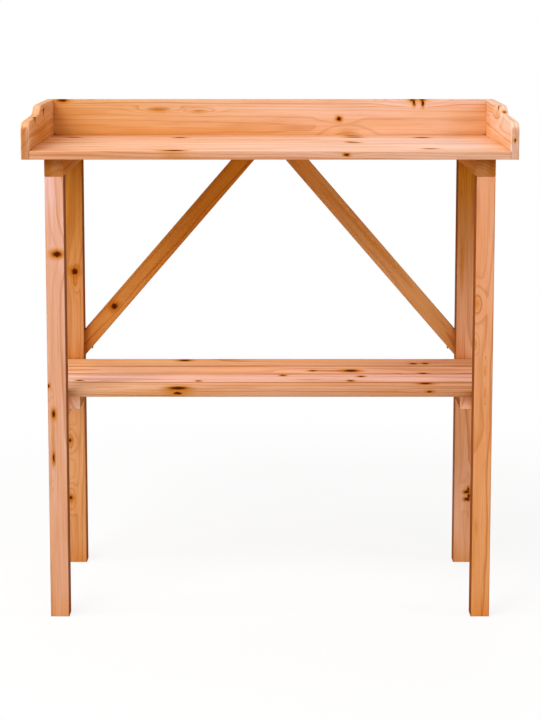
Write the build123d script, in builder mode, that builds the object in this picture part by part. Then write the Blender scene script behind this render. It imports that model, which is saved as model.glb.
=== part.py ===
from build123d import *
import math
import os

# Potting bench of fir boards: a slatted table top inside a low tray, an open side frame under
# each end, a slatted shelf between the frames and two diagonal braces at the back.
# Millimetres. +Z is up, the front looks towards -Y and +X is to the right as seen from the
# front. The origin is on the floor, under the middle of the bench.

# Table top: slats side by side, from the front edge to the back board
TOP_LENGTH = 797.0
TOP_UNDERSIDE = 787.0
TOP_SLAT_WIDTH = 74.0
TOP_SLAT_THICKNESS = 14.0
TOP_SLAT_COUNT = 5
TOP_SLAT_GAP = 1.25
TOP_SLAT_ROUND = 2.0

# Tray: a board behind the table top and one at each end, with their lower edges level with
# the underside of the slats
BACK_BOARD_THICKNESS = 14.0
SIDE_BOARD_THICKNESS = 14.0
TRAY_RISE = 66.0
BOARD_ROUND = 2.5

# Upper edge of a side board: a nearly level front stretch that a soft ramp lifts to the full
# height. The ramp is measured from the front end, and the drops from the edge before them.
RAMP_START = 152.0
RAMP_RUN = 30.0
RAMP_DROP = 14.0
RAMP_FOOT_ROUND = 55.0
RAMP_HEAD_ROUND = 30.0
NOSE_DROP = 4.5
NOSE_ROUND = 20.0

# Side frames: square legs, a rail across their tops and a rail between them for the shelf
LEG_SIZE = 32.0
LEG_ROUND = 2.0
FRAME_INSET = 22.5
FRAME_SETBACK = 18.0
TOP_RAIL_HEIGHT = 30.0
SHELF_RAIL_HEIGHT = 32.0
SHELF_RAIL_TOP = 376.5

# Shelf: slats that fill the room between front and rear legs, on a cleat inside each rail
SHELF_SLAT_COUNT = 4
SHELF_SLAT_GAP = 4.2
SHELF_SLAT_THICKNESS = 12.0
SHELF_SLAT_ROUND = 3.0
SHELF_CLEARANCE = 0.5
CLEAT_WIDTH = 18.0
CLEAT_HEIGHT = 24.0
CLEAT_SETBACK = 17.0
CLEAT_ROUND = 1.5

# Braces: flush with the backs of the rear legs, from just above the shelf to the middle of
# the table top
BRACE_WIDTH = 32.0
BRACE_THICKNESS = 14.0
BRACE_ROUND = 1.5
BRACE_FOOT_RISE = 3.5
BRACE_HEAD_GAP = 4.8

# Wood screws. A bite is the length in the second piece, and the cover is the wood left
# between a screw's tip and the face beyond it.
SCREW_DIAMETER = 4.0
SCREW_HEAD_DIAMETER = 8.0
SCREW_TIP = 5.0
SCREW_FIT = 0.1
SCREW_COVER = 4.0
PAN_HEAD_HEIGHT = 2.8
PAN_HEAD_ROUND = 1.7
RECESS_LENGTH = 4.2
RECESS_WIDTH = 1.1
RECESS_DEPTH = 1.3
COUNTERSINK_ANGLE = 90.0
LEG_SCREW_BITE = 45.0
SIDE_SCREW_BITE = 20.0
SIDE_SCREW_STEP = 2  # one screw into every second table slat
BACK_SCREW_BITE = 20.0
BACK_SCREW_COUNT = 4
BACK_SCREW_INSET = 60.0
CLEAT_SCREW_BITE = 20.0
BRACE_SCREW_BITE = 22.0
BRACE_FOOT_SCREW_RISE = 15.0
BRACE_HEAD_SCREW_INSET = 17.5
BRACE_SPOT_DEPTH = 1.5

# Dowels between the shelf rails and the legs, with glue room at both ends
DOWEL_DIAMETER = 8.0
DOWEL_PITCH = 16.0
DOWEL_IN_RAIL = 20.0
DOWEL_COVER = 12.0
DOWEL_CHAMFER = 1.0
DOWEL_FIT = 0.1
DOWEL_END_ROOM = 0.5

# Places worked out from the sizes above
top_depth = TOP_SLAT_COUNT * TOP_SLAT_WIDTH + (TOP_SLAT_COUNT - 1) * TOP_SLAT_GAP
top_surface = TOP_UNDERSIDE + TOP_SLAT_THICKNESS
top_mid_height = TOP_UNDERSIDE + TOP_SLAT_THICKNESS / 2
tray_top = top_surface + TRAY_RISE
tray_height = tray_top - TOP_UNDERSIDE
front_y = -(top_depth + BACK_BOARD_THICKNESS) / 2
slats_rear_y = front_y + top_depth
rear_y = slats_rear_y + BACK_BOARD_THICKNESS
end_x = TOP_LENGTH / 2

frame_half_width = end_x - FRAME_INSET
leg_x = frame_half_width - LEG_SIZE / 2
inner_x = frame_half_width - LEG_SIZE
leg_height = TOP_UNDERSIDE - TOP_RAIL_HEIGHT
frame_front_y = front_y + FRAME_SETBACK
room_front_y = frame_front_y + LEG_SIZE
room_rear_y = slats_rear_y - LEG_SIZE
rail_mid_height = SHELF_RAIL_TOP - SHELF_RAIL_HEIGHT / 2

shelf_front_y = room_front_y + SHELF_CLEARANCE
shelf_depth = room_rear_y - SHELF_CLEARANCE - shelf_front_y
shelf_slat_width = (shelf_depth - (SHELF_SLAT_COUNT - 1) * SHELF_SLAT_GAP) / SHELF_SLAT_COUNT
shelf_top = SHELF_RAIL_TOP + SHELF_SLAT_THICKNESS
cleat_x = inner_x - CLEAT_WIDTH / 2
cleat_bottom = SHELF_RAIL_TOP - CLEAT_HEIGHT
cleat_front_y = shelf_front_y + CLEAT_SETBACK
cleat_rear_y = shelf_front_y + shelf_depth - CLEAT_SETBACK

brace_mid_y = slats_rear_y - BRACE_THICKNESS / 2
brace_foot_height = shelf_top + BRACE_FOOT_RISE
brace_head_x = BRACE_HEAD_GAP / 2
brace_angle = math.atan2(TOP_UNDERSIDE - brace_foot_height, inner_x - brace_head_x)

SIDES = {"left": -1, "right": 1}
LEG_Y = {"front": frame_front_y + LEG_SIZE / 2, "rear": slats_rear_y - LEG_SIZE / 2}
UP = (0, 0, 1)
DOWN = (0, 0, -1)


def slat_edges(first_y, width, gap, count):
    """Front and rear edge of each slat in a row that starts at first_y."""
    return [(first_y + i * (width + gap), first_y + i * (width + gap) + width) for i in range(count)]


def shared_middle(edges, low, high):
    """Middle of the stretch that a slat shares with the stretch from low to high."""
    return (max(edges[0], low) + min(edges[1], high)) / 2


top_slats = slat_edges(front_y, TOP_SLAT_WIDTH, TOP_SLAT_GAP, TOP_SLAT_COUNT)
shelf_slats = slat_edges(shelf_front_y, shelf_slat_width, SHELF_SLAT_GAP, SHELF_SLAT_COUNT)


# Fastener places: each plane lies on the face that the head sinks into or sits on, and its
# Z axis points away from the wood

def leg_screw_plane(side, y):
    """Down through a top rail into the end of a leg."""
    return Plane((side * leg_x, y, TOP_UNDERSIDE), z_dir=UP)


def top_screw_plane(side, edges):
    """Up through a top rail into a table slat, clear of the legs."""
    y = shared_middle(edges, room_front_y, room_rear_y)
    return Plane((side * leg_x, y, leg_height), z_dir=DOWN)


def shelf_screw_plane(side, edges):
    """Up through a cleat into a shelf slat."""
    y = shared_middle(edges, cleat_front_y, cleat_rear_y)
    return Plane((side * cleat_x, y, cleat_bottom), z_dir=DOWN)


def cleat_screw_planes(side):
    """Through a cleat into its shelf rail, at the first and the last joint between slats."""
    joints = (shelf_slats[0][1] + SHELF_SLAT_GAP / 2, shelf_slats[-1][0] - SHELF_SLAT_GAP / 2)
    height = SHELF_RAIL_TOP - CLEAT_HEIGHT / 2
    face_x = side * (inner_x - CLEAT_WIDTH)
    return [Plane((face_x, y, height), z_dir=(-side, 0, 0)) for y in joints]


def side_screw_plane(side, edges):
    """Through a side board into the end of a table slat."""
    face_x = side * (end_x + SIDE_BOARD_THICKNESS)
    return Plane((face_x, sum(edges) / 2, top_mid_height), z_dir=(side, 0, 0))


def back_screw_planes():
    """Through the back board into the rear table slat."""
    reach = end_x - BACK_SCREW_INSET
    step = 2 * reach / (BACK_SCREW_COUNT - 1)
    places = [-reach + i * step for i in range(BACK_SCREW_COUNT)]
    return [Plane((x, rear_y, top_mid_height), z_dir=(0, 1, 0)) for x in places]


def dowel_planes(side, end):
    """Between a shelf rail and a leg, on the faces where they meet, pointing into the leg."""
    y, way = (room_front_y, -1) if end == "front" else (room_rear_y, 1)
    heights = (rail_mid_height - DOWEL_PITCH / 2, rail_mid_height + DOWEL_PITCH / 2)
    return [Plane((side * leg_x, y, z), z_dir=(0, way, 0)) for z in heights]


def brace_foot_plane(side):
    """Level through the lower end of a brace into its leg."""
    x = inner_x - BRACE_FOOT_SCREW_RISE / math.tan(brace_angle) + BRACE_SPOT_DEPTH
    return Plane((side * x, brace_mid_y, brace_foot_height + BRACE_FOOT_SCREW_RISE), z_dir=(-side, 0, 0))


def brace_head_plane(side):
    """Up through the upper end of a brace into the rear table slat."""
    drop = BRACE_HEAD_SCREW_INSET * math.tan(brace_angle) - BRACE_SPOT_DEPTH
    x = brace_head_x + BRACE_HEAD_SCREW_INSET
    return Plane((side * x, brace_mid_y, TOP_UNDERSIDE - drop), z_dir=DOWN)


leg_screws = {
    (side, end): leg_screw_plane(SIDES[side], LEG_Y[end]) for side in SIDES for end in LEG_Y
}
top_screws = {side: [top_screw_plane(SIDES[side], slat) for slat in top_slats] for side in SIDES}
shelf_screws = {
    side: [shelf_screw_plane(SIDES[side], slat) for slat in shelf_slats] for side in SIDES
}
cleat_screws = {side: cleat_screw_planes(SIDES[side]) for side in SIDES}
side_screws = {
    side: [side_screw_plane(SIDES[side], slat) for slat in top_slats[::SIDE_SCREW_STEP]] for side in SIDES
}
back_screws = back_screw_planes()
dowels = {(side, end): dowel_planes(SIDES[side], end) for side in SIDES for end in LEG_Y}
brace_foot_screws = {side: brace_foot_plane(SIDES[side]) for side in SIDES}
brace_head_screws = {side: brace_head_plane(SIDES[side]) for side in SIDES}

# Screw lengths from the thickness that each one passes and what it bites into
leg_screw_length = TOP_RAIL_HEIGHT + LEG_SCREW_BITE
top_screw_length = TOP_RAIL_HEIGHT + TOP_SLAT_THICKNESS - SCREW_COVER
shelf_screw_length = CLEAT_HEIGHT + SHELF_SLAT_THICKNESS - SCREW_COVER
cleat_screw_length = CLEAT_WIDTH + CLEAT_SCREW_BITE
side_screw_length = SIDE_BOARD_THICKNESS + SIDE_SCREW_BITE
back_screw_length = BACK_BOARD_THICKNESS + BACK_SCREW_BITE
brace_foot_screw_length = inner_x - abs(brace_foot_screws["left"].origin.X) + BRACE_SCREW_BITE
brace_head_screw_length = top_surface - SCREW_COVER - brace_head_screws["left"].origin.Z

screw_hole_radius = SCREW_DIAMETER / 2 + SCREW_FIT
head_hole_radius = SCREW_HEAD_DIAMETER / 2 + SCREW_FIT
dowel_hole_radius = DOWEL_DIAMETER / 2 + DOWEL_FIT
dowel_in_leg = LEG_SIZE - DOWEL_COVER
dowel_length = dowel_in_leg + DOWEL_IN_RAIL


def drill_sunk(planes, length):
    """Countersunk clearance holes in the piece under the screw heads."""
    with Locations(*planes):
        CounterSinkHole(screw_hole_radius, head_hole_radius, length, COUNTERSINK_ANGLE)


def drill_pilot(planes, length):
    """Holes in the piece that the screws bite into."""
    with Locations(*planes):
        Hole(screw_hole_radius, length + SCREW_FIT)


def drill_dowels(planes):
    """Dowel holes on both sides of a joint, each closed at its far end."""
    middle = (dowel_in_leg - DOWEL_IN_RAIL) / 2
    with Locations(*[plane.offset(middle) for plane in planes]):
        Cylinder(dowel_hole_radius, dowel_length + 2 * DOWEL_END_ROOM, mode=Mode.SUBTRACT)


os.makedirs("parts", exist_ok=True)

# Legs, from the floor to the top rails
for side, sign in SIDES.items():
    for end, leg_y in LEG_Y.items():
        with BuildPart() as leg:
            with BuildSketch():
                with Locations((sign * leg_x, leg_y)):
                    RectangleRounded(LEG_SIZE, LEG_SIZE, LEG_ROUND)
            extrude(amount=leg_height)
            drill_pilot([leg_screws[side, end]], leg_screw_length)
            drill_dowels(dowels[side, end])
            if end == "rear":
                drill_pilot([brace_foot_screws[side]], brace_foot_screw_length)
        leg.part.label = f"leg_{end}_{side}"
        export_step(leg.part, f"parts/leg_{end}_{side}.step")

# Top rails, on both legs of a side and under the table slats
for side, sign in SIDES.items():
    with BuildPart() as top_rail:
        with BuildSketch(Plane.XZ.offset(-slats_rear_y)):
            with Locations((sign * leg_x, leg_height + TOP_RAIL_HEIGHT / 2)):
                RectangleRounded(LEG_SIZE, TOP_RAIL_HEIGHT, LEG_ROUND)
        extrude(amount=slats_rear_y - frame_front_y)
        drill_sunk([leg_screws[side, end] for end in LEG_Y], leg_screw_length)
        drill_sunk(top_screws[side], top_screw_length)
    top_rail.part.label = f"top_rail_{side}"
    export_step(top_rail.part, f"parts/top_rail_{side}.step")

# Shelf rails, between the front and the rear leg of a side
for side, sign in SIDES.items():
    with BuildPart() as shelf_rail:
        with BuildSketch(Plane.XZ.offset(-room_rear_y)):
            with Locations((sign * leg_x, rail_mid_height)):
                RectangleRounded(LEG_SIZE, SHELF_RAIL_HEIGHT, LEG_ROUND)
        extrude(amount=room_rear_y - room_front_y)
        drill_dowels(dowels[side, "front"] + dowels[side, "rear"])
        drill_pilot(cleat_screws[side], cleat_screw_length)
    shelf_rail.part.label = f"shelf_rail_{side}"
    export_step(shelf_rail.part, f"parts/shelf_rail_{side}.step")

# Table slats, counted from the front
for i, (slat_front, slat_rear) in enumerate(top_slats):
    with BuildPart() as top_slat:
        with BuildSketch(Plane.YZ.offset(-end_x)):
            with Locations(((slat_front + slat_rear) / 2, top_mid_height)):
                RectangleRounded(TOP_SLAT_WIDTH, TOP_SLAT_THICKNESS, TOP_SLAT_ROUND)
        extrude(amount=TOP_LENGTH)
        drill_pilot([top_screws[side][i] for side in SIDES], top_screw_length)
        if i % SIDE_SCREW_STEP == 0:
            drill_pilot([side_screws[side][i // SIDE_SCREW_STEP] for side in SIDES], side_screw_length)
        if i == TOP_SLAT_COUNT - 1:
            drill_pilot(back_screws, back_screw_length)
            drill_pilot(brace_head_screws.values(), brace_head_screw_length)
    top_slat.part.label = f"top_slat_{i + 1}"
    export_step(top_slat.part, f"parts/top_slat_{i + 1}.step")

# Shelf slats, counted from the front, on both shelf rails
for i, (slat_front, slat_rear) in enumerate(shelf_slats):
    with BuildPart() as shelf_slat:
        with BuildSketch(Plane.YZ.offset(-frame_half_width)):
            with Locations(((slat_front + slat_rear) / 2, SHELF_RAIL_TOP + SHELF_SLAT_THICKNESS / 2)):
                RectangleRounded(shelf_slat_width, SHELF_SLAT_THICKNESS, SHELF_SLAT_ROUND)
        extrude(amount=2 * frame_half_width)
        drill_pilot([shelf_screws[side][i] for side in SIDES], shelf_screw_length)
    shelf_slat.part.label = f"shelf_slat_{i + 1}"
    export_step(shelf_slat.part, f"parts/shelf_slat_{i + 1}.step")

# Shelf cleats, under the slats and against the inner faces of the shelf rails
for side, sign in SIDES.items():
    with BuildPart() as cleat:
        with BuildSketch(Plane.XZ.offset(-cleat_rear_y)):
            with Locations((sign * cleat_x, cleat_bottom + CLEAT_HEIGHT / 2)):
                RectangleRounded(CLEAT_WIDTH, CLEAT_HEIGHT, CLEAT_ROUND)
        extrude(amount=cleat_rear_y - cleat_front_y)
        drill_sunk(shelf_screws[side], shelf_screw_length)
        drill_sunk(cleat_screws[side], cleat_screw_length)
    cleat.part.label = f"shelf_cleat_{side}"
    export_step(cleat.part, f"parts/shelf_cleat_{side}.step")

# Side boards of the tray, with the shaped upper edge
nose = (front_y, tray_top - RAMP_DROP - NOSE_DROP)
ramp_foot = (front_y + RAMP_START, tray_top - RAMP_DROP)
ramp_head = (front_y + RAMP_START + RAMP_RUN, tray_top)
for side, sign in SIDES.items():
    with BuildPart() as side_board:
        with BuildSketch(Plane.YZ.offset(min(sign * end_x, sign * (end_x + SIDE_BOARD_THICKNESS)))):
            with BuildLine():
                FilletPolyline(
                    (front_y, TOP_UNDERSIDE),
                    nose,
                    ramp_foot,
                    ramp_head,
                    (rear_y, tray_top),
                    radius=[NOSE_ROUND, RAMP_FOOT_ROUND, RAMP_HEAD_ROUND],
                )
                Polyline((rear_y, tray_top), (rear_y, TOP_UNDERSIDE), (front_y, TOP_UNDERSIDE))
            make_face()
        extrude(amount=SIDE_BOARD_THICKNESS)
        outline = side_board.faces().filter_by(Axis.X).edges()
        lower_edges = outline.group_by(Axis.Z)[0]
        rear_edges = outline.group_by(Axis.Y)[-1]
        fillet(outline - lower_edges - rear_edges, BOARD_ROUND)
        drill_sunk(side_screws[side], side_screw_length)
    side_board.part.label = f"side_board_{side}"
    export_step(side_board.part, f"parts/side_board_{side}.step")

# Back board of the tray, between the side boards and against the rear slat
with BuildPart() as back_board:
    with BuildSketch(Plane.YZ.offset(-end_x)):
        with Locations((slats_rear_y + BACK_BOARD_THICKNESS / 2, TOP_UNDERSIDE + tray_height / 2)):
            RectangleRounded(BACK_BOARD_THICKNESS, tray_height, BOARD_ROUND)
    extrude(amount=TOP_LENGTH)
    drill_sunk(back_screws, back_screw_length)
back_board.part.label = "back_board"
export_step(back_board.part, "parts/back_board.step")

# Braces: cut upright at the leg and level under the table top, with the edges eased
for side, sign in SIDES.items():
    with BuildPart() as brace:
        with BuildSketch(Plane.XZ.offset(-slats_rear_y)):
            with BuildLine():
                Polyline(
                    (sign * inner_x, brace_foot_height),
                    (sign * brace_head_x, TOP_UNDERSIDE),
                    (sign * (brace_head_x + BRACE_WIDTH / math.sin(brace_angle)), TOP_UNDERSIDE),
                    (sign * inner_x, brace_foot_height + BRACE_WIDTH / math.cos(brace_angle)),
                    close=True,
                )
            make_face()
        extrude(amount=BRACE_THICKNESS)
        long_edges = brace.edges().filter_by(GeomType.LINE).sort_by(SortBy.LENGTH)[-4:]
        fillet(long_edges, BRACE_ROUND)
        for plane in (brace_foot_screws[side], brace_head_screws[side]):
            with Locations(plane.offset(BRACE_WIDTH)):
                CounterBoreHole(screw_hole_radius, head_hole_radius, BRACE_WIDTH)
    brace.part.label = f"brace_{side}"
    export_step(brace.part, f"parts/brace_{side}.step")


def cross_recess(height):
    """Cut a cross recess into a screw head whose top lies at this height."""
    with BuildSketch(Plane.XY.offset(height)) as cross:
        Rectangle(RECESS_LENGTH, RECESS_WIDTH)
        Rectangle(RECESS_WIDTH, RECESS_LENGTH)
    extrude(cross.sketch, amount=-RECESS_DEPTH, mode=Mode.SUBTRACT)


def sunk_screw(length):
    """Countersunk screw with its head's top in the XY plane and its tip at -length."""
    head_radius = SCREW_HEAD_DIAMETER / 2
    radius = SCREW_DIAMETER / 2
    head_height = (head_radius - radius) / math.tan(math.radians(COUNTERSINK_ANGLE / 2))
    with BuildPart() as screw:
        with BuildSketch(Plane.XZ):
            with BuildLine():
                Polyline(
                    (0, 0),
                    (head_radius, 0),
                    (radius, -head_height),
                    (radius, SCREW_TIP - length),
                    (0, -length),
                    close=True,
                )
            make_face()
        revolve(axis=Axis.Z)
        cross_recess(0)
    return screw.part


def pan_screw(length):
    """Pan head screw with the seat of its head in the XY plane and its tip at -length."""
    head_radius = SCREW_HEAD_DIAMETER / 2
    radius = SCREW_DIAMETER / 2
    with BuildPart() as screw:
        with BuildSketch(Plane.XZ):
            with BuildLine():
                Polyline(
                    (0, PAN_HEAD_HEIGHT),
                    (head_radius, PAN_HEAD_HEIGHT),
                    (head_radius, 0),
                    (radius, 0),
                    (radius, SCREW_TIP - length),
                    (0, -length),
                    close=True,
                )
            make_face()
        revolve(axis=Axis.Z)
        fillet(screw.edges().filter_by(GeomType.CIRCLE).sort_by(Axis.Z)[-1], PAN_HEAD_ROUND)
        cross_recess(PAN_HEAD_HEIGHT)
    return screw.part


# Screws, in groups of equal ones
screw_groups = {
    "leg_top_screws": (sunk_screw(leg_screw_length), list(leg_screws.values())),
    "top_slat_screws": (sunk_screw(top_screw_length), top_screws["left"] + top_screws["right"]),
    "shelf_slat_screws": (
        sunk_screw(shelf_screw_length), shelf_screws["left"] + shelf_screws["right"]
    ),
    "cleat_screws": (sunk_screw(cleat_screw_length), cleat_screws["left"] + cleat_screws["right"]),
    "side_board_screws": (sunk_screw(side_screw_length), side_screws["left"] + side_screws["right"]),
    "back_board_screws": (sunk_screw(back_screw_length), back_screws),
    "brace_foot_screws": (pan_screw(brace_foot_screw_length), list(brace_foot_screws.values())),
    "brace_head_screws": (pan_screw(brace_head_screw_length), list(brace_head_screws.values())),
}
for name, (screw, planes) in screw_groups.items():
    with BuildPart() as screws:
        with Locations(*planes):
            add(screw)
    screws.part.label = name
    export_step(screws.part, f"parts/{name}.step")

# Dowels of the shelf rails
with BuildPart() as dowel:
    with BuildSketch(Plane.XY.offset(-DOWEL_IN_RAIL)):
        Circle(DOWEL_DIAMETER / 2)
    extrude(amount=dowel_length)
    chamfer(dowel.edges().filter_by(GeomType.CIRCLE), DOWEL_CHAMFER)
with BuildPart() as shelf_rail_dowels:
    with Locations(*[plane for planes in dowels.values() for plane in planes]):
        add(dowel.part)
shelf_rail_dowels.part.label = "shelf_rail_dowels"
export_step(shelf_rail_dowels.part, "parts/shelf_rail_dowels.step")
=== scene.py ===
"""Looks of a potting bench: fir boards under a thin honey stain, plated screws and beech dowels."""
import math
import random
from typing import NamedTuple

import bpy
from mathutils import Matrix, Vector


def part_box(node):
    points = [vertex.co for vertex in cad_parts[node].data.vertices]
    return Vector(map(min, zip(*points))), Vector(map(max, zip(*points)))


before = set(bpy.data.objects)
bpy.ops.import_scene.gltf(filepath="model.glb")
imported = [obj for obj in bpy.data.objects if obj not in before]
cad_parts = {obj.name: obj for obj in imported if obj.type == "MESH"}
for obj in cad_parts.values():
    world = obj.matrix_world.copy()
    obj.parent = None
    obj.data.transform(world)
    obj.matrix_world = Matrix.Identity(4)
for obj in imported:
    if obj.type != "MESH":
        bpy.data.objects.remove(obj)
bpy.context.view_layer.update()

MM = 0.001
X = Vector((1, 0, 0))
Y = Vector((0, 1, 0))
Z = Vector((0, 0, 1))


def linear(colour):
    """Turns an sRGB hex value into the linear colour that a socket takes."""
    channels = [int(colour[i:i + 2], 16) / 255 for i in (1, 3, 5)]
    return (*[c / 12.92 if c <= 0.04045 else ((c + 0.055) / 1.055) ** 2.4 for c in channels], 1.0)


def add(tree, kind, inputs=(), output=0, **settings):
    """Adds a node with its settings, sets or links its inputs, and returns one of its outputs."""
    node = tree.nodes.new("ShaderNode" + kind)
    for name, value in settings.items():
        setattr(node, name, value)
    for socket, value in inputs.items() if isinstance(inputs, dict) else enumerate(inputs):
        if isinstance(value, bpy.types.NodeSocket):
            tree.links.new(value, node.inputs[socket])
        else:
            node.inputs[socket].default_value = value
    return node.outputs[output] if node.outputs else None


# Sockets of a Mix node for colours, and the settings that are used again and again
SHARE, UNDER, OVER, MIXED = 0, 6, 7, 2
LAY_OVER = {"data_type": "RGBA"}
STAIN = {"data_type": "RGBA", "blend_type": "MULTIPLY"}
SMOOTH = {"interpolation_type": "SMOOTHSTEP"}
TIMES = {"operation": "MULTIPLY"}
TIMES_PLUS = {"operation": "MULTIPLY_ADD"}


def new_material(name):
    """An empty material and its node tree."""
    material = bpy.data.materials.new(name)
    material.use_nodes = True
    material.node_tree.nodes.clear()
    return material, material.node_tree


def cells(length, width):
    """Scale of a pattern whose marks are so long and so wide, in mm, for coordinates in metres."""
    return 1 / (length * MM), 1 / (width * MM), 1 / (width * MM)


# Stained fir

RIGHT_THROUGH = 1e6  # mm, a half size that takes a mark through its whole board


class Mark(NamedTuple):
    """A knot or a patch of resin, in mm: its place in the row frame, and its half sizes along the board."""

    x: float
    y: float
    z: float
    along: float
    across: float
    through: float = RIGHT_THROUGH


class Board(NamedTuple):
    """One board as it was cut from its log."""

    grain: Vector  # the way that the grain runs
    face: Vector  # the way that the bark side looks
    low_tone: str  # stained colour at the end of the grain with the lower coordinate
    high_tone: str  # stained colour at the other end
    ring_gap: float  # mm between two late wood lines
    arches: float  # how far the rings run out in arches, from straight lines at zero
    end_stain: float = 0.5  # how much darker the end grain is
    edge_shade: float = 0.0  # how much painted shade the narrow edges get
    inner_shade: float = 0.0  # how much painted shade the side that looks to the middle of the bench gets
    corner_shade: float = 1.0  # how much painted shade its corners and joints get
    fibre_width: float = 2.4  # mm that a streak of fibres is wide
    turn: float = 0.0  # share of the length that keeps the low tone
    knots: tuple = ()
    resin: tuple = ()  # patches soaked with resin, which have no dark heart


# Colours that darken the tone of their board: the wood's own stains and marks, and painted shade on edges,
# inner sides, corners and joints
LATE_WOOD = "#DDC4A0"
FIBRE = "#EACFB4"
RICH_STAIN = "#F4E0B8"
END_GRAIN = "#A47B68"
# Painted shade on narrow edges and inner sides, in corners and in joints
EDGE_SHADE = "#B69770"
CORNER_SHADE = "#F8E2B4"
JOINT_SHADE = "#A8794A"
# Resin in the wood itself
RESIN_STAIN = "#EBCC66"

# Colours that cover it
KNOT_RIM = "#B9691C"
KNOT_HEART = "#300C02"
KNOT_HEART_PALE = "#5E2408"

# The log and its rings
PITH_ASIDE = 25  # mm, the most that the heart of the log lies beside the board's middle
PITH_NEAR, PITH_FAR = 45, 90  # mm, how deep it lies behind the face
LEAN_LEAST, LEAN_MOST = 1.0, 2.2  # degrees between log and board that open the rings into arches
WANDER = 22  # mm that the rings wander there
WANDER_SIZE = 220, 70  # mm along and across the grain from one bend to the next
PACE_CHANGES = 0.37  # how often wide years turn to narrow ones, in changes per year
PACE_SHIFT = 2.6  # how far that shifts the rings, in years
LATE_RISE = 0.45, 0.94, 0.0, 1.0  # from this to that part of a year, the line grows from none to full
LATE_FALL = 0.94, 1.0, 1.0, 0.1  # and falls off at the end of the year
LATE_CURVE = 2.0  # the power that keeps its start faint
FAINTEST_LINE = 0.2  # share of its strength that the faintest line has

# Fibres and soft bands of stain, as sizes in mm and as noise turned into a share
FIBRE_LENGTH = 110
STREAKS = 0.42, 0.72, 0.0, 0.5
BAND_SIZE = 240, 24
BANDS = 0.35, 0.7, 0.0, 0.7
PATTERN_SPAN = 50  # cells, the most that the patterns of two boards lie apart

# Stain on ends, and painted shade on edges and inner sides, begins and is full where a face looks the way so
# squarely
END_TURN = 0.7, 0.95
EDGE_TURN = 0.25, 0.7

# Painted shade in hollows is full and ends where a spot is so open
CORNER_REACH = 90  # mm from a corner to where its painted shade ends
CORNER_OPEN = 0.35, 0.95
JOINT_REACH = 10  # mm from a joint to where its painted dark line of shade ends
JOINT_OPEN = 0.15, 0.6

# Knots and resin, with distances in half sizes of the mark
KNOT_PUSH, SWIRL_PUSH = 3, 6  # mm that a knot or a swirl round resin pushes the rings aside
KNOT_STRETCH, SWIRL_STRETCH = 4, 1.5  # times as far along the grain as the mark's own shape
PUSH_END = 2.5
RAGGED = 2  # mm that an outline strays
RAGGED_SIZE = 6.5, 4  # mm along and across the grain from one bend of it to the next
SOAKED = 0.8  # share of the resin's colour
RESIN_FADE = 0.0, 1.5
HALO_FADE = 0.8, 2.0
RIM_FADE = 0.6, 1.35, 0.9, 0.0
HEART_FADE = 0.35, 0.95, 1.0, 0.0

# Touch
RELIEF = 0.25  # mm that late wood stands proud
RELIEF_STRENGTH = 0.35
FIBRE_RELIEF = 0.35  # share of it that fibres have
EARLY_ROUGH, LATE_ROUGH = 0.75, 0.62


def nearest(tree, grain, turn, marks, stretch=1):
    """How far a point is from the nearest mark, in half sizes of it. The marks stretch along the grain."""
    least = None
    for mark in marks:
        centre = turn.transposed() @ Vector((mark.x, mark.y, mark.z)) * MM
        sizes = Vector((mark.along * stretch, mark.across, mark.through)) * MM
        inside = add(tree, "Mapping", {"Vector": grain, "Location": centre, "Scale": sizes},
                     vector_type="TEXTURE")
        distance = add(tree, "VectorMath", (inside,), "Value", operation="LENGTH")
        least = distance if least is None else add(tree, "Math", (least, distance), operation="MINIMUM")
    return least


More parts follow.
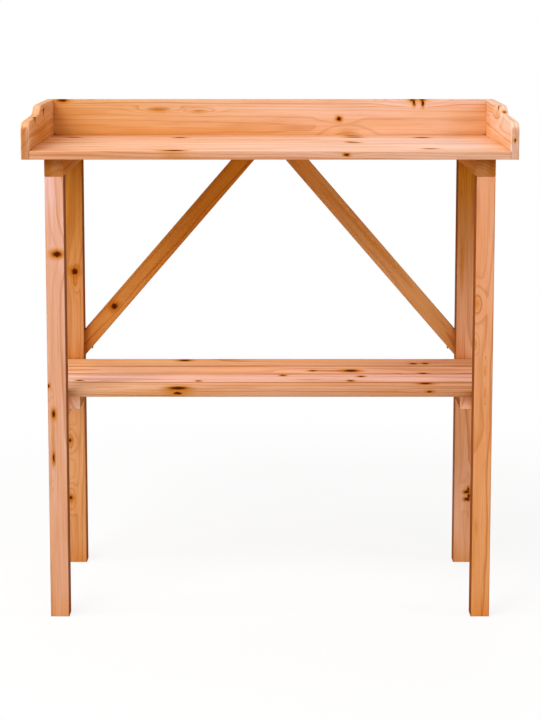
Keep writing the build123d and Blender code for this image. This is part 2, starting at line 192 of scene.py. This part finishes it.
def stained_fir(name, board, seed):
    """Fir planed and sanded, then dipped in a thin honey stain that dries matt. Early wood drinks it and
    turns peach, late wood shows as darker lines, knots are dark brown with a golden rim, and end grain is
    richer. Narrow edges, inner sides, corners and joints get painted shade."""
    draw = random.Random(seed)
    material, tree = new_material("stained_fir_" + name)
    low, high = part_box(name)
    across = board.face.cross(board.grain)
    turn = Matrix((board.grain, across, board.face)).transposed()
    place = add(tree, "TexCoord", output="Object")
    grain = add(tree, "Mapping", {"Vector": place, "Rotation": turn.to_euler()}, vector_type="TEXTURE")
    spot = [draw.uniform(0, PATTERN_SPAN) for axis in "xyz"]

    # Rings about the heart of the log, which lies behind the board and leans to it
    aside = draw.uniform(-PITH_ASIDE, PITH_ASIDE) * MM
    behind = draw.uniform(PITH_NEAR, PITH_FAR) * MM
    pith = (low + high) / 2 + across * aside - board.face * behind
    lean = math.radians(draw.uniform(LEAN_LEAST, LEAN_MOST)) * draw.choice((-1, 1)) * board.arches
    leaning = (Matrix.Rotation(lean, 3, across) @ turn).to_euler()
    log = add(tree, "Mapping", {"Vector": place, "Location": pith, "Rotation": leaning},
              vector_type="TEXTURE")
    flat = add(tree, "VectorMath", (log, (0, 1, 1)), **TIMES)
    radius = add(tree, "VectorMath", (flat,), "Value", operation="LENGTH")
    slow = add(tree, "VectorMath", (grain, cells(*WANDER_SIZE), spot), **TIMES_PLUS)
    wander = add(tree, "TexNoise", {"Vector": slow, "Scale": 1.0, "Detail": 2.0}, "Fac")
    radius = add(tree, "Math", (wander, WANDER * MM * board.arches, radius), **TIMES_PLUS)

    # Knots and resin have ragged outlines, and the rings bend round them
    stray = add(tree, "VectorMath", (grain, cells(*RAGGED_SIZE), spot), **TIMES_PLUS)
    stray = add(tree, "TexNoise", {"Vector": stray, "Scale": 1.0, "Detail": 2.0}, "Color")
    stray = add(tree, "VectorMath", (stray, (0.5, 0.5, 0.5)), operation="SUBTRACT")
    ragged = add(tree, "VectorMath", (stray, (2 * RAGGED * MM,) * 3, grain), **TIMES_PLUS)
    knot = nearest(tree, ragged, turn, board.knots)
    for marks, stretch, most in ((board.knots, KNOT_STRETCH, KNOT_PUSH),
                                 (board.resin, SWIRL_STRETCH, SWIRL_PUSH)):
        beside = nearest(tree, grain, turn, marks, stretch)
        if beside:
            push = add(tree, "MapRange", (beside, 0.0, PUSH_END, most * MM, 0.0), **SMOOTH)
            radius = add(tree, "Math", (radius, push), operation="ADD")

    # Late wood closes each year with a line, and some years are wide, narrow or faint
    years = add(tree, "Math", (radius, 1 / (board.ring_gap * MM)), **TIMES)
    pace = add(tree, "TexNoise", {"W": years, "Scale": PACE_CHANGES, "Detail": 1.0}, "Fac",
               noise_dimensions="1D")
    years = add(tree, "Math", (pace, PACE_SHIFT, years), **TIMES_PLUS)
    part = add(tree, "Math", (years,), operation="FRACT")
    rise = add(tree, "MapRange", (part, *LATE_RISE), **SMOOTH)
    rise = add(tree, "Math", (rise, LATE_CURVE), operation="POWER")
    fall = add(tree, "MapRange", (part, *LATE_FALL), **SMOOTH)
    late = add(tree, "Math", (rise, fall), **TIMES)
    year = add(tree, "Math", (years,), operation="FLOOR")
    strength = add(tree, "TexWhiteNoise", {"W": year}, "Value", noise_dimensions="1D")
    strength = add(tree, "MapRange", {"Value": strength, "To Min": FAINTEST_LINE})
    late = add(tree, "Math", (late, strength), **TIMES)

    # Fibres are fine streaks. Real ones are finer than a pixel, so they are drawn wider
    thread = add(tree, "VectorMath", (grain, cells(FIBRE_LENGTH, board.fibre_width), spot), **TIMES_PLUS)
    fibre = add(tree, "TexNoise", {"Vector": thread, "Scale": 1.0, "Detail": 3.0, "Roughness": 0.65}, "Fac")
    streak = add(tree, "MapRange", (fibre, *STREAKS), **SMOOTH)

    # The stain takes in soft bands along the grain
    band = add(tree, "VectorMath", (grain, cells(*BAND_SIZE), spot[::-1]), **TIMES_PLUS)
    band = add(tree, "TexNoise", {"Vector": band, "Scale": 1.0, "Detail": 3.0}, "Fac")
    rich = add(tree, "MapRange", (band, *BANDS), **SMOOTH)

    # Colour, from the tone of the board to the marks on it
    reach = add(tree, "SeparateXYZ", (grain,), "X")
    along = [board.grain.dot(vertex.co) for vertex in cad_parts[name].data.vertices]
    start = min(along) + (max(along) - min(along)) * board.turn
    drift = add(tree, "MapRange", (reach, start, max(along)), **SMOOTH)
    tones = {SHARE: drift, UNDER: linear(board.low_tone), OVER: linear(board.high_tone)}
    colour = add(tree, "Mix", tones, MIXED, **LAY_OVER)
    for share, mark in ((rich, RICH_STAIN), (late, LATE_WOOD), (streak, FIBRE)):
        colour = add(tree, "Mix", {SHARE: share, UNDER: colour, OVER: linear(mark)}, MIXED, **STAIN)

    # Sawn ends drink more stain, and narrow edges and the inner side of some boards get painted shade
    facing = add(tree, "NewGeometry", output="Normal")
    for way, begin_full, most, stain_and_shade in ((board.grain, END_TURN, board.end_stain, END_GRAIN),
                                         (across, EDGE_TURN, board.edge_shade, EDGE_SHADE)):
        square = add(tree, "VectorMath", (facing, way), "Value", operation="DOT_PRODUCT")
        square = add(tree, "Math", (square,), operation="ABSOLUTE")
        square = add(tree, "MapRange", (square, *begin_full, 0.0, most), **SMOOTH)
        colour = add(tree, "Mix", {SHARE: square, UNDER: colour, OVER: linear(stain_and_shade)}, MIXED, **STAIN)
    if board.inner_shade:
        inward = X if low.x + high.x < 0 else -X
        inner = add(tree, "VectorMath", (facing, inward), "Value", operation="DOT_PRODUCT")
        inner = add(tree, "MapRange", (inner, *EDGE_TURN, 0.0, board.inner_shade), **SMOOTH)
        colour = add(tree, "Mix", {SHARE: inner, UNDER: colour, OVER: linear(EDGE_SHADE)}, MIXED, **STAIN)

    # Painted shade: corners, and most of all the gaps and joints between boards, darken as they close in
    for depth, full_end, stain_and_shade in ((CORNER_REACH, CORNER_OPEN, CORNER_SHADE),
                                   (JOINT_REACH, JOINT_OPEN, JOINT_SHADE)):
        shade_share = add(tree, "AmbientOcclusion", {"Distance": depth * MM}, "AO", samples=8)
        shade_share = add(tree, "MapRange", (shade_share, *full_end, board.corner_shade, 0.0), **SMOOTH)
        colour = add(tree, "Mix", {SHARE: shade_share, UNDER: colour, OVER: linear(stain_and_shade)}, MIXED, **STAIN)

    # Resin soaks into patches and round the knots
    resin = nearest(tree, ragged, turn, board.resin)
    for mark, fade in ((resin, RESIN_FADE), (knot, HALO_FADE)):
        if mark:
            soaked = add(tree, "MapRange", (mark, *fade, SOAKED, 0.0), **SMOOTH)
            golden = {SHARE: soaked, UNDER: colour, OVER: linear(RESIN_STAIN)}
            colour = add(tree, "Mix", golden, MIXED, **STAIN)
    if knot:
        rim = add(tree, "MapRange", (knot, *RIM_FADE), **SMOOTH)
        colour = add(tree, "Mix", {SHARE: rim, UNDER: colour, OVER: linear(KNOT_RIM)}, MIXED, **LAY_OVER)
        browns = {SHARE: fibre, UNDER: linear(KNOT_HEART), OVER: linear(KNOT_HEART_PALE)}
        heart = add(tree, "Mix", browns, MIXED, **LAY_OVER)
        core = add(tree, "MapRange", (knot, *HEART_FADE), **SMOOTH)
        colour = add(tree, "Mix", {SHARE: core, UNDER: colour, OVER: heart}, MIXED, **LAY_OVER)

    # Late wood stands a little proud and is smoother
    height = add(tree, "Math", (fibre, FIBRE_RELIEF, late), **TIMES_PLUS)
    relief = add(tree, "Bump", {"Height": height, "Strength": RELIEF_STRENGTH, "Distance": RELIEF * MM})
    rough = add(tree, "MapRange", {"Value": late, "To Min": EARLY_ROUGH, "To Max": LATE_ROUGH})
    surface = add(tree, "BsdfPrincipled", {"Base Color": colour, "Roughness": rough, "Normal": relief,
                                           "Specular IOR Level": 0.0})
    add(tree, "OutputMaterial", {"Surface": surface})
    return material


# Faces that the marks lie on, in mm
LEFT_INNER, RIGHT_INNER = -398.5, 398.5
TOP_FRONT, SHELF_FRONT = -194.5, -144
FRONT_LEG, REAR_LEG = -176.5, 148.5

# Where knots show
KNOTS = {
    "top_slat_1": (Mark(-160, -177, 0, 22, 13), Mark(127, TOP_FRONT, 795, 6, 12, 3),
                   Mark(270, -140, 0, 15, 9)),
    "top_slat_3": (Mark(147, -4, 0, 14, 9), Mark(140, 20, 0, 10, 6)),
    "top_slat_5": (Mark(-356, 126, 0, 15, 8), Mark(-163, 118, 0, 13, 11), Mark(153, 131, 0, 18, 12),
                   Mark(150, 168, 0, 14, 7), Mark(275, 118, 0, 14, 12)),
    "back_board": (Mark(-382, 180, 866, 13, 5, 8), Mark(127, 0, 831, 6, 5), Mark(262, 180, 867, 7, 4, 10),
                   Mark(265, 180, 861, 3, 7, 10), Mark(280, 180, 867, 6, 4, 10),
                   Mark(281, 180, 860, 3, 8, 10)),
    "leg_front_left": (Mark(-357, FRONT_LEG, 627, 7, 11, 12), Mark(-366, FRONT_LEG, 354, 9, 4, 6),
                       Mark(-367, FRONT_LEG, 278, 11, 3, 5), Mark(-375, FRONT_LEG, 402, 4, 4, 4)),
    "leg_rear_left": (Mark(-360, REAR_LEG, 552, 9, 9, 12), Mark(-373, REAR_LEG, 234, 4, 4, 6),
                      Mark(-373, REAR_LEG, 124, 5, 5, 6)),
    "leg_rear_right": (Mark(368, REAR_LEG, 135, 4, 7, 6), Mark(371, REAR_LEG, 140, 6, 3, 6),
                       Mark(369, REAR_LEG, 121, 4, 7, 6), Mark(372, REAR_LEG, 127, 6, 3, 6)),
    "brace_left": (Mark(-289, 0, 484, 9, 8),),
    "shelf_slat_1": (Mark(-158, -126, 0, 21, 18), Mark(-158, SHELF_FRONT, 383, 10, 12, 3),
                     Mark(270, -86, 0, 15, 10), Mark(273, SHELF_FRONT, 386, 7, 12, 2)),
    "shelf_slat_2": (Mark(-125, -62, 0, 6, 5), Mark(-333, -58, 0, 7, 5), Mark(23, -13, 0, 7, 7),
                     Mark(161, -22, 0, 8, 7), Mark(141, -60, 0, 7, 7)),
    "shelf_slat_3": (Mark(77, 31, 0, 8, 7), Mark(145, 31, 0, 18, 14), Mark(273, 8, 0, 10, 6)),
    "shelf_slat_4": (Mark(-157, 131, 0, 14, 11), Mark(262, 98, 0, 8, 8), Mark(284, 100, 0, 7, 8)),
    "side_board_left": (Mark(LEFT_INNER, -103, 851, 11, 3, 5), Mark(LEFT_INNER, -106, 847, 6, 5, 4),
                        Mark(LEFT_INNER, 22, 857, 11, 3, 5), Mark(LEFT_INNER, 19, 853, 6, 5, 4)),
    "side_board_right": (Mark(RIGHT_INNER, -9, 862, 8, 4, 5), Mark(RIGHT_INNER + 7, -38, 859, 8, 5, 4),
                         Mark(405, TOP_FRONT, 819, 3, 4, 2)),
}

# Where resin shows
RESIN = {
    "back_board": (Mark(-206, 0, 847, 22, 5), Mark(-132, 0, 845, 18, 4), Mark(141, 0, 800, 20, 13),
                   Mark(272, 0, 866, 26, 9)),
    "leg_front_right": (Mark(347, FRONT_LEG, 543, 13, 9, 8), Mark(345, FRONT_LEG, 474, 7, 4, 5),
                        Mark(363, FRONT_LEG, 428, 11, 2, 4), Mark(363, FRONT_LEG, 391, 9, 2, 4)),
    "leg_front_left": (Mark(-368, FRONT_LEG, 315, 36, 3, 5),),
    "leg_rear_left": (Mark(-361, REAR_LEG, 536, 12, 5, 8), Mark(-372, REAR_LEG, 233, 13, 8, 8),
                      Mark(-372, REAR_LEG, 122, 13, 8, 8)),
    "leg_rear_right": (Mark(354, REAR_LEG, 572, 60, 5, 10),),
    "brace_right": (Mark(170, 0, 627, 130, 2.5),),
    "top_slat_3": (Mark(-378, -8, 0, 40, 8),),
    "top_slat_4": (Mark(-372, 66, 0, 45, 9), Mark(-330, 88, 0, 30, 5)),
    "top_slat_5": (Mark(-362, 128, 0, 24, 14),),
    "shelf_slat_3": (Mark(110, 31, 0, 45, 9),),
    "side_board_left": (Mark(LEFT_INNER, 10, 825, 195, 45, 3), Mark(-409, TOP_FRONT, 830, 4, 80, 7)),
    "side_board_right": (Mark(RIGHT_INNER, 110, 854, 100, 6, 6), Mark(RIGHT_INNER, 15, 850, 40, 10, 6)),
    "top_rail_left": (Mark(-371, -176, 0, 9, 9),),
    "top_rail_right": (Mark(371, -176, 0, 9, 9),),
}


def brace_line(name):
    """The way that a brace slopes, which its longest edge gives."""
    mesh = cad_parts[name].data
    ends = [[mesh.vertices[i].co for i in edge.vertices] for edge in mesh.edges]
    start, end = max(ends, key=lambda pair: (pair[1] - pair[0]).length)
    slope = Vector((end.x - start.x, 0, end.z - start.z)).normalized()
    return slope if slope.x > 0 else -slope


# Low and high tone of each slat, from the front, and how much painted shade its edges get
TOP_EDGE_SHADE = 0.58
TOP_SLATS = (("#EFBA9A", "#FBD3C4"), ("#F2BFA4", "#FDD7CC"), ("#F2BEA1", "#FBD3C6"), ("#EFBA9A", "#F9CEBC"),
             ("#EFB896", "#F9CDBA"))
# The shelf slats' pale tones are partly painted light, which lifts the shade that the table top casts on
# them
SHELF_SLATS = (("#EBBC9A", "#D9A37E", 0.42), ("#F1C7BA", "#E7B8A9", 1.0), ("#EDBA98", "#E3AB8B", 1.0),
               ("#E8B385", "#DFA57E", 1.0))

# Painted shade on the legs' narrow sides and on their inner sides
LEG_EDGE_SHADE = 0.35
FRONT_LEG_INNER_SHADE, REAR_LEG_INNER_SHADE = 0.9, 0.5
REAR_LEG_SHADOW_TURN = 0.5  # the low tone holds for the lower half of the rear legs, and the darker high tone above is painted shadow of the table top
BROAD_FIBRES = 6.0  # mm, for boards on a slope


def fir_boards():
    """Every fir board by its node's name: how it was cut, its tones and rings, and its darker sides."""
    boards = {
        "back_board": Board(X, -Y, "#D8A674", "#EAC8BC", 3.0, 0.12),
        "side_board_left": Board(Y, X, "#EBBC9C", "#EBBC9C", 3.5, 0.3, end_stain=0.6),
        # The right side board's pale tone is partly painted light on its inner face
        "side_board_right": Board(Y, -X, "#F8D2BF", "#F8D2BF", 3.5, 0.2),
        "leg_front_left": Board(Z, -Y, "#D6A286", "#D8AB9E", 2.8, 0.2,
                                edge_shade=LEG_EDGE_SHADE, inner_shade=FRONT_LEG_INNER_SHADE),
        "leg_front_right": Board(Z, -Y, "#D9975F", "#DA9B75", 3.0, 0.4,
                                 edge_shade=LEG_EDGE_SHADE, inner_shade=FRONT_LEG_INNER_SHADE),
        # The rear legs' dark high tones are painted shadow of the table top
        "leg_rear_left": Board(Z, -Y, "#D19766", "#B97C32", 3.0, 0.3,
                               edge_shade=LEG_EDGE_SHADE, inner_shade=REAR_LEG_INNER_SHADE, turn=REAR_LEG_SHADOW_TURN),
        "leg_rear_right": Board(Z, -Y, "#E6AC88", "#B8751E", 2.8, 0.2,
                                edge_shade=LEG_EDGE_SHADE, inner_shade=REAR_LEG_INNER_SHADE, turn=REAR_LEG_SHADOW_TURN),
        # The braces' tones are darker than the legs', partly their own wood and partly painted shade under
        # the table top
        "brace_left": Board(brace_line("brace_left"), -Y, "#CE8C48", "#C27E24", 3.5, 0.3,
                            fibre_width=BROAD_FIBRES),
        "brace_right": Board(brace_line("brace_right"), -Y, "#D0944F", "#DEA871", 3.5, 0.3,
                             fibre_width=BROAD_FIBRES),
    }
    for number, tones in enumerate(TOP_SLATS, 1):
        boards[f"top_slat_{number}"] = Board(X, Z, *tones, 6.0, 0.3, edge_shade=TOP_EDGE_SHADE)
    for number, (low_tone, high_tone, edges) in enumerate(SHELF_SLATS, 1):
        boards[f"shelf_slat_{number}"] = Board(X, Z, low_tone, high_tone, 5.5, 0.3, edge_shade=edges)
    for side, out in (("left", -X), ("right", X)):
        # The top rails' ends are darker than other ends, partly their own end grain and partly painted shade
        # under the table top
        boards["top_rail_" + side] = Board(Y, Z, "#E6B070", "#E6B070", 4.0, 0.3,
                                           end_stain=0.75, edge_shade=0.45)
        boards["shelf_rail_" + side] = Board(Y, out, "#E3A57A", "#E3A57A", 5.5, 0.3)
        # The cleats' pale tone is partly painted light on their shaded ends; their inner sides get full
        # painted shade, their corners little
        boards["shelf_cleat_" + side] = Board(Y, out, "#FCD4BD", "#FCD4BD", 14.0, 0.3,
                                              end_stain=0.0, inner_shade=1.0, corner_shade=0.1)
    return {name: board._replace(knots=KNOTS.get(name, ()), resin=RESIN.get(name, ()))
            for name, board in boards.items()}


# Plated steel

STEEL_DARK, STEEL_LIGHT = "#6E6A64", "#8F8B83"
CLOUD_SIZE = 3  # mm
CLOUD_NOISE = 0.3, 0.7  # from where a cloud begins to where it is full
STEEL_SMOOTH, STEEL_ROUGH = 0.3, 0.5
TURNING_SIZE, TURNING_DEPTH = 0.4, 0.03  # mm


def plated_steel():
    """Steel screws with a dull zinc plate, dark from handling: grey metal with soft clouds and fine turning
    marks."""
    material, tree = new_material("zinc_plated_steel")
    place = add(tree, "TexCoord", output="Object")
    cloud = add(tree, "TexNoise", {"Vector": place, "Scale": 1 / (CLOUD_SIZE * MM), "Detail": 3.0}, "Fac")
    marks = add(tree, "TexNoise", {"Vector": place, "Scale": 1 / (TURNING_SIZE * MM), "Detail": 1.0}, "Fac")
    share = add(tree, "MapRange", (cloud, *CLOUD_NOISE), **SMOOTH)
    greys = {SHARE: share, UNDER: linear(STEEL_DARK), OVER: linear(STEEL_LIGHT)}
    colour = add(tree, "Mix", greys, MIXED, **LAY_OVER)
    rough = add(tree, "MapRange", {"Value": cloud, "To Min": STEEL_SMOOTH, "To Max": STEEL_ROUGH})
    relief = add(tree, "Bump", {"Height": marks, "Strength": 0.2, "Distance": TURNING_DEPTH * MM})
    surface = add(tree, "BsdfPrincipled", {"Base Color": colour, "Metallic": 1.0, "Roughness": rough,
                                           "Normal": relief})
    add(tree, "OutputMaterial", {"Surface": surface})
    return material


# Beech

BEECH_PALE, BEECH_DARK = "#D9B48C", "#B98A5E"
FLECK_LENGTH, FLECK_WIDTH, FLECK_DEPTH = 6, 0.7, 0.1  # mm, long the way that the rods lie, front to back
FLECK_NOISE = 0.5, 0.7  # from where a fleck begins to where it is full
BEECH_SMOOTH, BEECH_ROUGH = 0.6, 0.75


def beech():
    """Beech dowel rod, turned and left bare: pale tan with short darker flecks along the rod."""
    material, tree = new_material("turned_beech")
    place = add(tree, "TexCoord", output="Object")
    scale = (1 / (FLECK_WIDTH * MM), 1 / (FLECK_LENGTH * MM), 1 / (FLECK_WIDTH * MM))
    fleck = add(tree, "VectorMath", (place, scale), **TIMES)
    fleck = add(tree, "TexNoise", {"Vector": fleck, "Scale": 1.0, "Detail": 2.0}, "Fac")
    share = add(tree, "MapRange", (fleck, *FLECK_NOISE), **SMOOTH)
    tans = {SHARE: share, UNDER: linear(BEECH_PALE), OVER: linear(BEECH_DARK)}
    colour = add(tree, "Mix", tans, MIXED, **LAY_OVER)
    rough = add(tree, "MapRange", {"Value": fleck, "To Min": BEECH_SMOOTH, "To Max": BEECH_ROUGH})
    relief = add(tree, "Bump", {"Height": fleck, "Strength": 0.2, "Distance": FLECK_DEPTH * MM})
    surface = add(tree, "BsdfPrincipled", {"Base Color": colour, "Roughness": rough, "Normal": relief})
    add(tree, "OutputMaterial", {"Surface": surface})
    return material


def finish_nodes():
    """Gives every CAD node its material. The slot that it goes with is worked out but not used."""
    boards = fir_boards()
    steel = plated_steel()
    rod = beech()
    for seed, name in enumerate(sorted(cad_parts)):
        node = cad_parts[name]
        if name in boards:
            material, slot = stained_fir(name, boards[name], seed), "stained_fir"
        elif name.endswith("_dowels"):
            material, slot = rod, "dowel_beech"
        else:
            material, slot = steel, "screw_steel"
        node.data.materials.clear()
        node.data.materials.append(material)


# Stage

FLOOR_RADIUS = 9.0  # metres
FLOOR_DROP = 0.5 * MM
FLOOR_SIDES = 96
FADE_NEAR, FADE_FAR = 0.7, 1.6  # metres from the middle of the bench
NEAR_WHITE = 0.85  # how white the paper looks beside the bench, so that the shadow stays soft
PAPER, WHITE = "#F4F3F1", "#FFFFFF"
TOOTH_SIZE, TOOTH_DEPTH = 2, 0.1  # mm


def seen_plainly(tree):
    """One for rays from the camera and for those that gloss or glass sends on, and zero for light."""
    path = add(tree, "LightPath").node.outputs
    seen = add(tree, "Math", (path["Is Camera Ray"], path["Is Glossy Ray"]), operation="MAXIMUM")
    return add(tree, "Math", (seen, path["Is Transmission Ray"]), operation="MAXIMUM")


def paper_white():
    """Matt white paper. It fades to plain white away from the bench, and the shadow stays on it."""
    material, tree = new_material("matt_white_paper")
    place = add(tree, "TexCoord", output="Object")
    tooth = add(tree, "TexNoise", {"Vector": place, "Scale": 1 / (TOOTH_SIZE * MM)}, "Fac")
    relief = add(tree, "Bump", {"Height": tooth, "Strength": 0.1, "Distance": TOOTH_DEPTH * MM})
    paper = add(tree, "BsdfDiffuse", {"Color": linear(PAPER), "Normal": relief})
    white = add(tree, "Emission", {"Color": linear(WHITE), "Strength": 1.0})
    away = add(tree, "VectorMath", (place,), "Value", operation="LENGTH")
    fade = add(tree, "MapRange", (away, FADE_NEAR, FADE_FAR, NEAR_WHITE, 1.0), **SMOOTH)
    share = add(tree, "Math", (fade, seen_plainly(tree)), **TIMES)
    surface = add(tree, "MixShader", (share, paper, white))
    add(tree, "OutputMaterial", {"Surface": surface})
    return material


def floor():
    """A round sheet of paper under the feet."""
    turns = [math.tau * i / FLOOR_SIDES for i in range(FLOOR_SIDES)]
    rim = [(FLOOR_RADIUS * math.cos(turn), FLOOR_RADIUS * math.sin(turn), 0) for turn in turns]
    mesh = bpy.data.meshes.new("floor")
    mesh.from_pydata(rim, [], [range(FLOOR_SIDES)])
    mesh.materials.append(paper_white())
    sheet = bpy.data.objects.new("floor", mesh)
    sheet.location.z = -FLOOR_DROP
    bpy.context.scene.collection.objects.link(sheet)


ROOM_LIGHT = 0.18


def white_room():
    """Even white all round: a soft fill on the bench, and plain white to the camera."""
    world = bpy.data.worlds.new("white_room")
    world.use_nodes = True
    tree = world.node_tree
    tree.nodes.clear()
    strength = add(tree, "MapRange", {"Value": seen_plainly(tree), "To Min": ROOM_LIGHT})
    light = add(tree, "Background", {"Color": linear(WHITE), "Strength": strength})
    add(tree, "OutputWorld", {"Surface": light})
    bpy.context.scene.world = world


AIM = Vector((0, 0, 0.55))

# Name, azimuth and elevation in degrees, distance and size in metres, power in watts
LAMPS = (
    ("key", -35, 40, 3.2, 1.6, 70),
    ("front", 20, 20, 3.6, 2.0, 30),
    ("left", -75, 30, 3.2, 1.2, 34),
    ("right", 75, 30, 3.2, 1.2, 22),
    ("rear", 170, 50, 3.2, 1.6, 30),
)


def soft_box(name, azimuth, elevation, distance, size, power):
    """A square lamp turned to the middle of the bench. Azimuth zero is in front and grows to the right."""
    turn = math.radians(azimuth)
    rise = math.radians(elevation)
    way = Vector((math.sin(turn) * math.cos(rise), -math.cos(turn) * math.cos(rise), math.sin(rise)))
    light = bpy.data.lights.new(name, "AREA")
    light.energy = power
    light.size = size
    lamp = bpy.data.objects.new(name, light)
    lamp.location = AIM + way * distance
    lamp.rotation_euler = (-way).to_track_quat("-Z", "Y").to_euler()
    lamp.visible_camera = False
    bpy.context.scene.collection.objects.link(lamp)


# The lens is shifted down as far as other views of the bench allow, and the camera leans the rest of the way
CAMERA_PLACE = (0, -3.43, 1.0586)  # metres
CAMERA_LEAN = 7.492  # degrees down
CAMERA_LENS, CAMERA_SENSOR = 98.008, 36  # mm
CAMERA_SHIFT = -0.15  # of the frame's longer side


def camera():
    """A long lens straight in front of the bench, a little above its top."""
    lens = bpy.data.cameras.new("camera")
    lens.lens = CAMERA_LENS
    lens.sensor_width = CAMERA_SENSOR
    lens.shift_y = CAMERA_SHIFT
    view = bpy.data.objects.new("camera", lens)
    view.location = CAMERA_PLACE
    view.rotation_euler = (math.radians(90 - CAMERA_LEAN), 0, 0)
    bpy.context.scene.collection.objects.link(view)
    bpy.context.scene.camera = view


finish_nodes()
floor()
white_room()
for lamp_facts in LAMPS:
    soft_box(*lamp_facts)
camera()
bpy.context.scene.view_settings.view_transform = "Standard"
